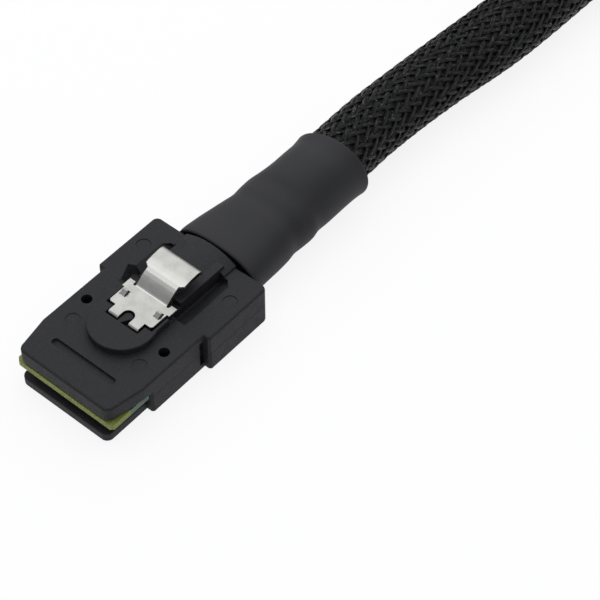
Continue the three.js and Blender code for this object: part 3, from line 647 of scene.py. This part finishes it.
def braid_mesh(name, start, end, step):
    """Both ways round of ribbons over the bundle's route, between two lengths along it in millimetres."""
    tangents, side, above = carried_frames(bundle_route)
    route_mm = bundle_route / MM
    lengths = np.concatenate([[0], np.cumsum(np.linalg.norm(np.diff(route_mm, axis=0), axis=1))])
    travelled = np.linspace(start, end, int((end - start) / step) + 1)

    def along(values):
        return np.stack([np.interp(travelled, lengths, values[:, k]) for k in range(3)], axis=1)

    centre = along(route_mm)
    forward, across, over = along(tangents), along(side), along(above)
    turn_rate = math.tan(BRAID_ANGLE) / TURN_RADIUS
    crossing = travelled * turn_rate * CARRIERS / math.pi
    spread = SPREAD * np.exp(-((travelled - SPREAD_MIDDLE) / SPREAD_REACH) ** 2)
    count, width = len(travelled), len(RIBBON_PROFILE)
    quads = strip_quads(count, width)
    vertices, marks, faces = [], [], []
    for way in (1, -1):
        for carrier in range(CARRIERS):
            wander = WANDER * np.sin(travelled / WANDER_LENGTH + carrier * WANDER_SHIFT + way)
            turn = way * travelled * turn_rate + 2 * math.pi * carrier / CARRIERS + wander
            phase = (2 * carrier + way * crossing - 0.5) * math.pi / 2
            wave = way * np.clip(WAVE_STEEPNESS * np.cos(phase), -1, 1) * RIBBON_WAVE
            outward = np.cos(turn)[:, None] * across + np.sin(turn)[:, None] * over
            sideways = np.cross(forward, outward)
            run = forward * math.cos(BRAID_ANGLE) + sideways * (way * math.sin(BRAID_ANGLE))
            flat = np.cross(run, outward)
            middle = (centre + outward * (RIBBON_RADIUS + wave)[:, None]
                      + across * (np.cos(turn) * spread)[:, None])
            strip = (middle[:, None] + flat[:, None] * (RIBBON_PROFILE[:, 0] * RIBBON_WIDTH)[None, :, None]
                     + outward[:, None] * RIBBON_PROFILE[:, 1][None, :, None])
            mark = np.zeros((count, width, 3))
            mark[:, :, 0] = RIBBON_PROFILE[:, 0] * 2
            mark[:, :, 1] = travelled[:, None]
            mark[:, :, 2] = ((carrier * 7 + (way > 0) * 3) % 11) / 10
            faces.append(quads + len(vertices) * count * width)
            vertices.append(strip.reshape(-1, 3))
            marks.append(mark.reshape(-1, 3))
    piece = new_mesh(name, np.vstack(vertices) * MM, np.vstack(faces).tolist(), BRAID)
    ribbon = piece.data.attributes.new("ribbon", "FLOAT_VECTOR", "POINT")
    ribbon.data.foreach_set("vector", np.vstack(marks).astype(np.float32).ravel())
    return piece


# Stretches of the braid, in millimetres along the bundle, and the lengths of their quads
BRAID_START = 0.5
BRAID_CHANGE = 112.0
BRAID_SHORTFALL = 0.3
SEEN_STEP = 0.62
COILED_STEP = 1.0

bundle_length = route_length(bundle_route)
braid_seen = braid_mesh("braid_seen", BRAID_START, BRAID_CHANGE, SEEN_STEP)
braid_coiled = braid_mesh("braid_coiled", BRAID_CHANGE, bundle_length / MM - BRAID_SHORTFALL, COILED_STEP)
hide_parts("braided_bundle")
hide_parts("bundle_coil")


# Heat-shrink sleeve: swept through its outline, flat and wide at the plug and round at the braid
SLEEVE_GAP = 0.55
SLEEVE_START = HOUSING_LENGTH + SLEEVE_GAP
SLEEVE_END = 27.9
SLEEVE_WALL = 0.5
SLEEVE_LIP = 0.12
SLEEVE_SIDES = 96
SLEEVE_RINGS = 90
STATION_STEP = 0.2

# How far the far end is cut short in its middle, and how much more on one side than on the other
SLANT_FROM = 16.0
SLANT_MIDDLE = 1.6
SLANT_ACROSS = 0.9

# The oval's corners, squarer near the plug, and the three soft folds round the skin
CORNER_POWER = 0.82
CORNER_SPAN = (4, 20)
FOLD = 0.05
FOLD_TWIST = 0.5
FOLD_SPAN = (2, 6)

# Each station: place along the sleeve, middle x and z, half width and half height
SLEEVE_STATIONS = [
    (0.0, 0.42, 4.65, 7.95, 4.35), (1.2, 0.48, 4.7, 8.0, 4.45), (5, 0.72, 4.85, 7.65, 4.65),
    (8.4, 1.05, 5.05, 7.25, 4.9), (10.4, 1.15, 5.15, 6.95, 5.0), (12.2, 1.27, 5.35, 7.1, 5.2),
    (14.2, 1.35, 5.55, 7.15, 5.4), (16, 1.45, 5.85, 6.75, 5.7), (18.5, 1.7, 6.1, 6.65, 5.95),
    (22, 1.85, 6.3, 6.6, 6.1), (25.4, 1.9, 6.3, 6.6, 6.1), (26.9, 1.86, 6.32, 6.7, 6.2),
    (27.9, 1.84, 6.35, 6.85, 6.3),
]


def signed_power(values, power):
    return np.sign(values) * np.abs(values) ** power


def sleeve_rings(inset):
    """Rings of the sleeve's skin, a wall's thickness in from the outside."""
    stations = np.array(SLEEVE_STATIONS)
    flat = np.zeros(len(stations))
    shaped = smooth_route(np.column_stack([stations[:, 0], flat, flat, stations[:, 1:]]), STATION_STEP)
    places = np.linspace(0, SLEEVE_END, SLEEVE_RINGS)
    values = [np.interp(places, shaped[:, 0], shaped[:, 3 + k]) for k in range(4)]
    turn = round_turn(SLEEVE_SIDES)
    rings = []
    for y, x, z, half_width, half_height in zip(places, *values):
        power = CORNER_POWER + (1 - CORNER_POWER) * smooth_step(y, *CORNER_SPAN)
        fold = FOLD * np.sin(3 * turn + FOLD_TWIST * y) * smooth_step(y, *FOLD_SPAN)
        slant = smooth_step(y, SLANT_FROM, SLEEVE_END) * (SLANT_MIDDLE - SLANT_ACROSS * np.cos(turn))
        rings.append(np.stack([
            x + (half_width - inset + fold) * signed_power(np.cos(turn), power),
            SLEEVE_START + y - slant,
            z + (half_height - inset) * signed_power(np.sin(turn), power)], axis=1))
    return rings


def sleeve_mesh():
    """Outer skin, rolled lips at both ends, and inner skin in one closed sweep."""
    outer = sleeve_rings(0)
    inner = sleeve_rings(SLEEVE_WALL)
    near_lip = 0.5 * (outer[0] + inner[0]) - [0, SLEEVE_LIP, 0]
    far_lip = 0.5 * (outer[-1] + inner[-1]) + [0, SLEEVE_LIP, 0]
    rings = to_row([near_lip] + outer + [far_lip] + inner[::-1])
    faces = [face[::-1] for face in skin_faces(len(rings), SLEEVE_SIDES)]
    return new_mesh("sleeve_skin", rings.reshape(-1, 3), faces, SHRINK)


sleeve_skin = sleeve_mesh()
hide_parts("shrink_sleeve")


# Collar where the bundle divides: heat-shrink drawn down over the legs
COLLAR_RINGS = 50
COLLAR_SIDES = 64
COLLAR_WAIST = 0.35
WAIST_SPAN = (0.3, 0.6)
COLLAR_SQUARENESS = 0.1
SQUARE_SPAN = (0.45, 0.95)
COLLAR_LIP = 0.12
COLLAR_LIP_REACH = 0.03
COLLAR_INSIDE = 0.9


def collar_mesh():
    """Outer and inner skin in one closed sweep round the coil."""
    turn = round_turn(COLLAR_SIDES)
    rings = []
    for share in np.linspace(0, 1, COLLAR_RINGS):
        angle = COLLAR_START + (COLLAR_END - COLLAR_START) * share
        waist = COLLAR_WAIST * smooth_step(share, *WAIST_SPAN)
        square = COLLAR_SQUARENESS * smooth_step(share, *SQUARE_SPAN) * np.cos(4 * turn)
        lips = sum(COLLAR_LIP * math.exp(-((away / COLLAR_LIP_REACH) ** 2)) for away in (share, 1 - share))
        radius = COLLAR_BORE + COLLAR_WALL - COLLAR_SLACK - waist - square + lips
        rings.append([
            on_coil(angle, COIL_RADIUS + r * math.cos(t), COLLAR_HEIGHT + r * math.sin(t))
            for r, t in zip(radius, turn)])
    outer = np.array(rings)
    middle = outer.mean(axis=1, keepdims=True)
    inner = middle + (outer - middle) * COLLAR_INSIDE
    whole = to_row(np.concatenate([outer, inner[::-1]]))
    return new_mesh("collar_skin", whole.reshape(-1, 3), skin_faces(len(whole), COLLAR_SIDES), SHRINK)


collar_skin = collar_mesh()
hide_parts("breakout_shrink")

tuple(to_row([BUNDLE_ROUTE[0]])[0])
[tuple(p) for p in bundle_route[::4]] + [tuple(bundle_route[-1])]

# Legs to the data plugs
LEG_POINTS = 60
LEG_STEP = 1.2
LEG_SIDES = 20

leg_number = 0
for level in (0, 1):
    for row in (0, 1):
        leg_number += 1
        angles = np.linspace(LEG_START, LEG_END, LEG_POINTS)
        leg_route = to_row(smooth_route([leg_point(angle, row, level) for angle in angles], LEG_STEP))
        leg = round_tube(f"leg_tube_{leg_number}", leg_route, LEG_RADIUS * MM, LEG_SIDES, JACKET)
        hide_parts(f"leg_{leg_number}")
        [tuple(p) for p in leg_route[::2]] + [tuple(leg_route[-1])]


# Finishes of the solids that stay as they are
SMOOTH_UNDER = math.radians(32.0)


def dress(names, material):
    """Gives nodes of the frame one finish, smooth over their small facets."""
    for name in names:
        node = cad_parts[name]
        node.data.materials.clear()
        node.data.materials.append(material)
        node.data.shade_smooth()
        node.data.set_sharp_from_angle(angle=SMOOTH_UNDER)


# Gold fingers on both faces of the card, under the nose plates
CARD_LOW = 3.36
CARD_HIGH = 4.51
FINGER_COUNT = 18
FINGER_PITCH = 0.8
FINGER_WIDTH = 0.5
FINGER_THICKNESS = 0.04
FINGER_FRONT = 0.5
SHORT_FINGER_FRONT = 0.9
FINGER_REAR = 6.2
BOX_FACES = [(3, 2, 1, 0), (4, 5, 6, 7), (0, 1, 5, 4), (1, 2, 6, 5), (2, 3, 7, 6), (3, 0, 4, 7)]


def card_fingers():
    """One row of flat contacts on each face. Every third one starts further back."""
    vertices = []
    faces = []
    for low, high in ((CARD_HIGH, CARD_HIGH + FINGER_THICKNESS), (CARD_LOW - FINGER_THICKNESS, CARD_LOW)):
        for number in range(FINGER_COUNT):
            middle = (number - (FINGER_COUNT - 1) / 2) * FINGER_PITCH
            left, right = middle - FINGER_WIDTH / 2, middle + FINGER_WIDTH / 2
            front = FINGER_FRONT if number % 3 else SHORT_FINGER_FRONT
            corners = [(left, front), (right, front), (right, FINGER_REAR), (left, FINGER_REAR)]
            faces += [[len(vertices) + k for k in face] for face in BOX_FACES]
            vertices += [(x, y, z) for z in (low, high) for x, y in corners]
    piece = new_mesh("card_fingers", to_row(vertices), faces, GOLD, flat=len(faces))


card_fingers()

numbers = range(1, 5)
dress(["top_cover", "bottom_cover"], MOULDING)
dress(["latch_spring"], STEEL)
dress(["paddle_card"], CARD)
dress([f"pair_{side}_{n}" for side in ("top", "bottom") for n in numbers], PAIR)
dress(["potting_block"], MELT)
dress(["cable_core"], JACKET)
dress([f"leg_boot_{n}" for n in numbers], BOOT_MOULDING)
dress([f"plug_housing_{n}" for n in numbers], PLUG_MOULDING)
dress([f"plug_insert_{n}" for n in numbers], WAFER)
dress(["coil_tie"], NYLON)


# Floor, light and background
FLOOR_REACH = 3.0
FLOOR_DROP = 0.05
FLOOR_WHITE = 0.86


def stage_floor():
    """Pale paper that camera, mirrored and passed rays see as nearly white, and that keeps the shadow."""
    mesh = bpy.data.meshes.new("studio_floor")
    corners = ((-1, -1), (1, -1), (1, 1), (-1, 1))
    mesh.from_pydata([(x * FLOOR_REACH, y * FLOOR_REACH, 0) for x, y in corners], [], [(0, 1, 2, 3)])
    floor = bpy.data.objects.new("studio_floor", mesh)
    floor.location.z = -FLOOR_DROP * MM
    bpy.context.scene.collection.objects.link(floor)
    finish = Finish("studio_paper", Base_Color=(0.9, 0.9, 0.9, 1), Roughness=0.9, Specular_IOR_Level=0.0)
    rays = finish.tree.nodes.new("ShaderNodeLightPath").outputs
    seen = Pattern(finish, rays["Is Camera Ray"])
    for kind in ("Is Glossy Ray", "Is Transmission Ray"):
        seen = seen.maths("MAXIMUM", Pattern(finish, rays[kind]))
    white = finish.tree.nodes.new("ShaderNodeEmission")
    white.inputs["Color"].default_value = (1, 1, 1, 1)
    blend = finish.tree.nodes.new("ShaderNodeMixShader")
    finish.tree.links.new((seen * FLOOR_WHITE).socket, blend.inputs[0])
    finish.tree.links.new(finish.shader.outputs[0], blend.inputs[1])
    finish.tree.links.new(white.outputs[0], blend.inputs[2])
    finish.tree.links.new(blend.outputs[0], finish.output.inputs[0])
    mesh.materials.append(finish.material)


def area_light(name, place, size, power):
    """A square panel that faces the plug."""
    data = bpy.data.lights.new(name, "AREA")
    data.shape = "SQUARE"
    data.size = size
    data.energy = power
    light = bpy.data.objects.new(name, data)
    bpy.context.scene.collection.objects.link(light)
    back = np.array(place) / np.linalg.norm(place)
    right = np.cross([0, 0, 1.0], back)
    right /= np.linalg.norm(right)
    light.matrix_world = placed(right, np.cross(back, right), back, place)


def studio_light():
    """An even pale world, a broad panel over the back and a faint one at the front."""
    world = bpy.data.worlds.new("studio_world")
    bpy.context.scene.world = world
    world.use_nodes = True
    background = world.node_tree.nodes["Background"]
    background.inputs["Color"].default_value = (0.96, 0.98, 1.0, 1)
    background.inputs["Strength"].default_value = 0.55
    area_light("top_panel", (-0.28, 0.38, 0.75), size=1.5, power=9.0)
    area_light("front_panel", (-0.4, -0.65, 0.62), size=0.5, power=0.12)


stage_floor()
studio_light()
bpy.context.scene.view_settings.view_transform = "Standard"
